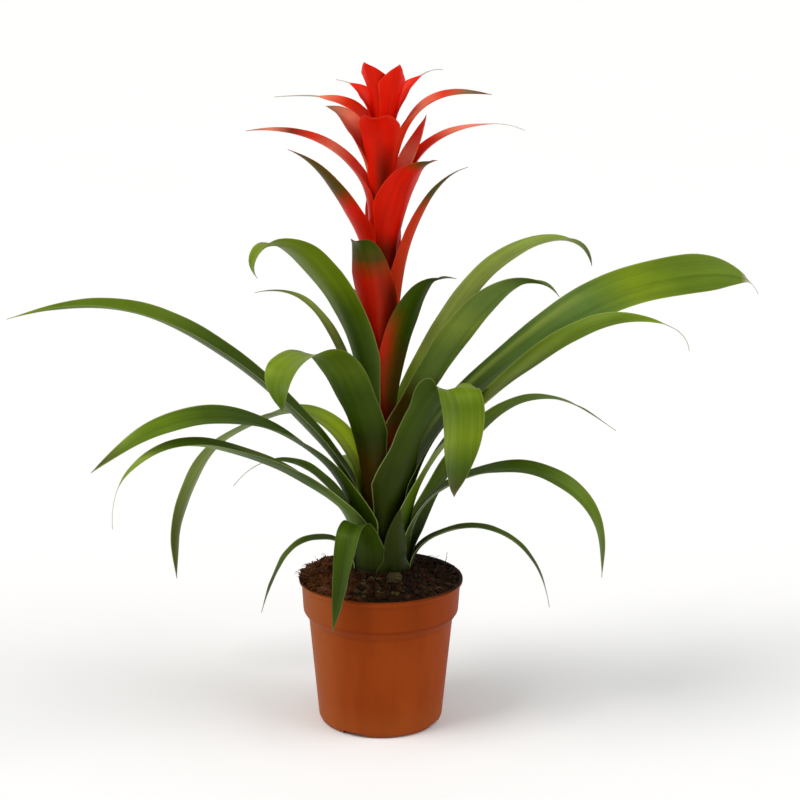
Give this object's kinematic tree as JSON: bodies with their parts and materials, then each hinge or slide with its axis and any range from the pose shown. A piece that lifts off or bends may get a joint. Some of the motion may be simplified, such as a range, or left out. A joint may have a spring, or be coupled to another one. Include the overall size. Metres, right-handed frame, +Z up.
{
  "type": "potted bromeliad",
  "caption": "Flowering bromeliad with arching strap leaves and an upright head of red bracts, growing in soil in a round plastic nursery pot that stands on its base.",
  "frame": {"origin": "middle of the pot's underside, where the pot stands", "axes": "+Z up along the pot's axis, -Y towards the viewer of the picture, +X to the viewer's right"},
  "size_m": [0.5465, 0.2337, 0.4882],
  "materials": {
    "pot_plastic": "satin",
    "peat": "matte",
    "stem": "satin",
    "leaf": "gloss",
    "low_bract": "satin",
    "flower_bract": "satin"
  },
  "bodies": {
    "root": {"pot": "pot_plastic", "soil": "peat", "flower_stem": "stem", "leaf_left_long": "leaf", "leaf_left_crest": "leaf", "leaf_left_slim": "leaf", "leaf_front_left_curl": "leaf", "leaf_left_broad": "leaf", "leaf_left_low": "leaf", "leaf_back_left_arch": "leaf", "leaf_back_left_short": "leaf", "leaf_low_left": "leaf", "leaf_front_fold": "leaf", "leaf_low_right": "leaf", "leaf_right_arch": "leaf", "leaf_right_slim": "leaf", "leaf_front_right_fold": "leaf", "leaf_right_crest": "leaf", "leaf_right_broad": "leaf", "leaf_right_great": "leaf", "leaf_right_second": "leaf", "leaf_front_scale": "leaf", "leaf_back_upright": "leaf", "leaf_back_low_right": "leaf", "leaf_back_low_left": "leaf", "bract_01_right_low": "low_bract", "bract_02_back_low": "low_bract", "bract_03_front_low": "low_bract", "bract_04_back_mid": "low_bract", "bract_05_right_mid": "low_bract", "bract_06_left_mid": "flower_bract", "bract_07_back_high": "flower_bract", "bract_08_front_right": "flower_bract", "bract_09_left_spread": "flower_bract", "bract_10_right_spread": "flower_bract", "bract_11_back_spread": "flower_bract", "bract_12_front_cup": "flower_bract", "bract_13_right_upright": "flower_bract", "bract_14_left_cup": "flower_bract", "bract_15_back_cup": "flower_bract", "bract_16_right_wing": "flower_bract", "bract_17_left_wing": "flower_bract", "bract_18_back_wing": "flower_bract", "bract_19_right_small": "flower_bract", "bract_20_left_small": "flower_bract", "bract_21_crown_right": "flower_bract", "bract_22_crown_left": "flower_bract", "bract_23_crown_back": "flower_bract"}
  },
  "joints": []
}
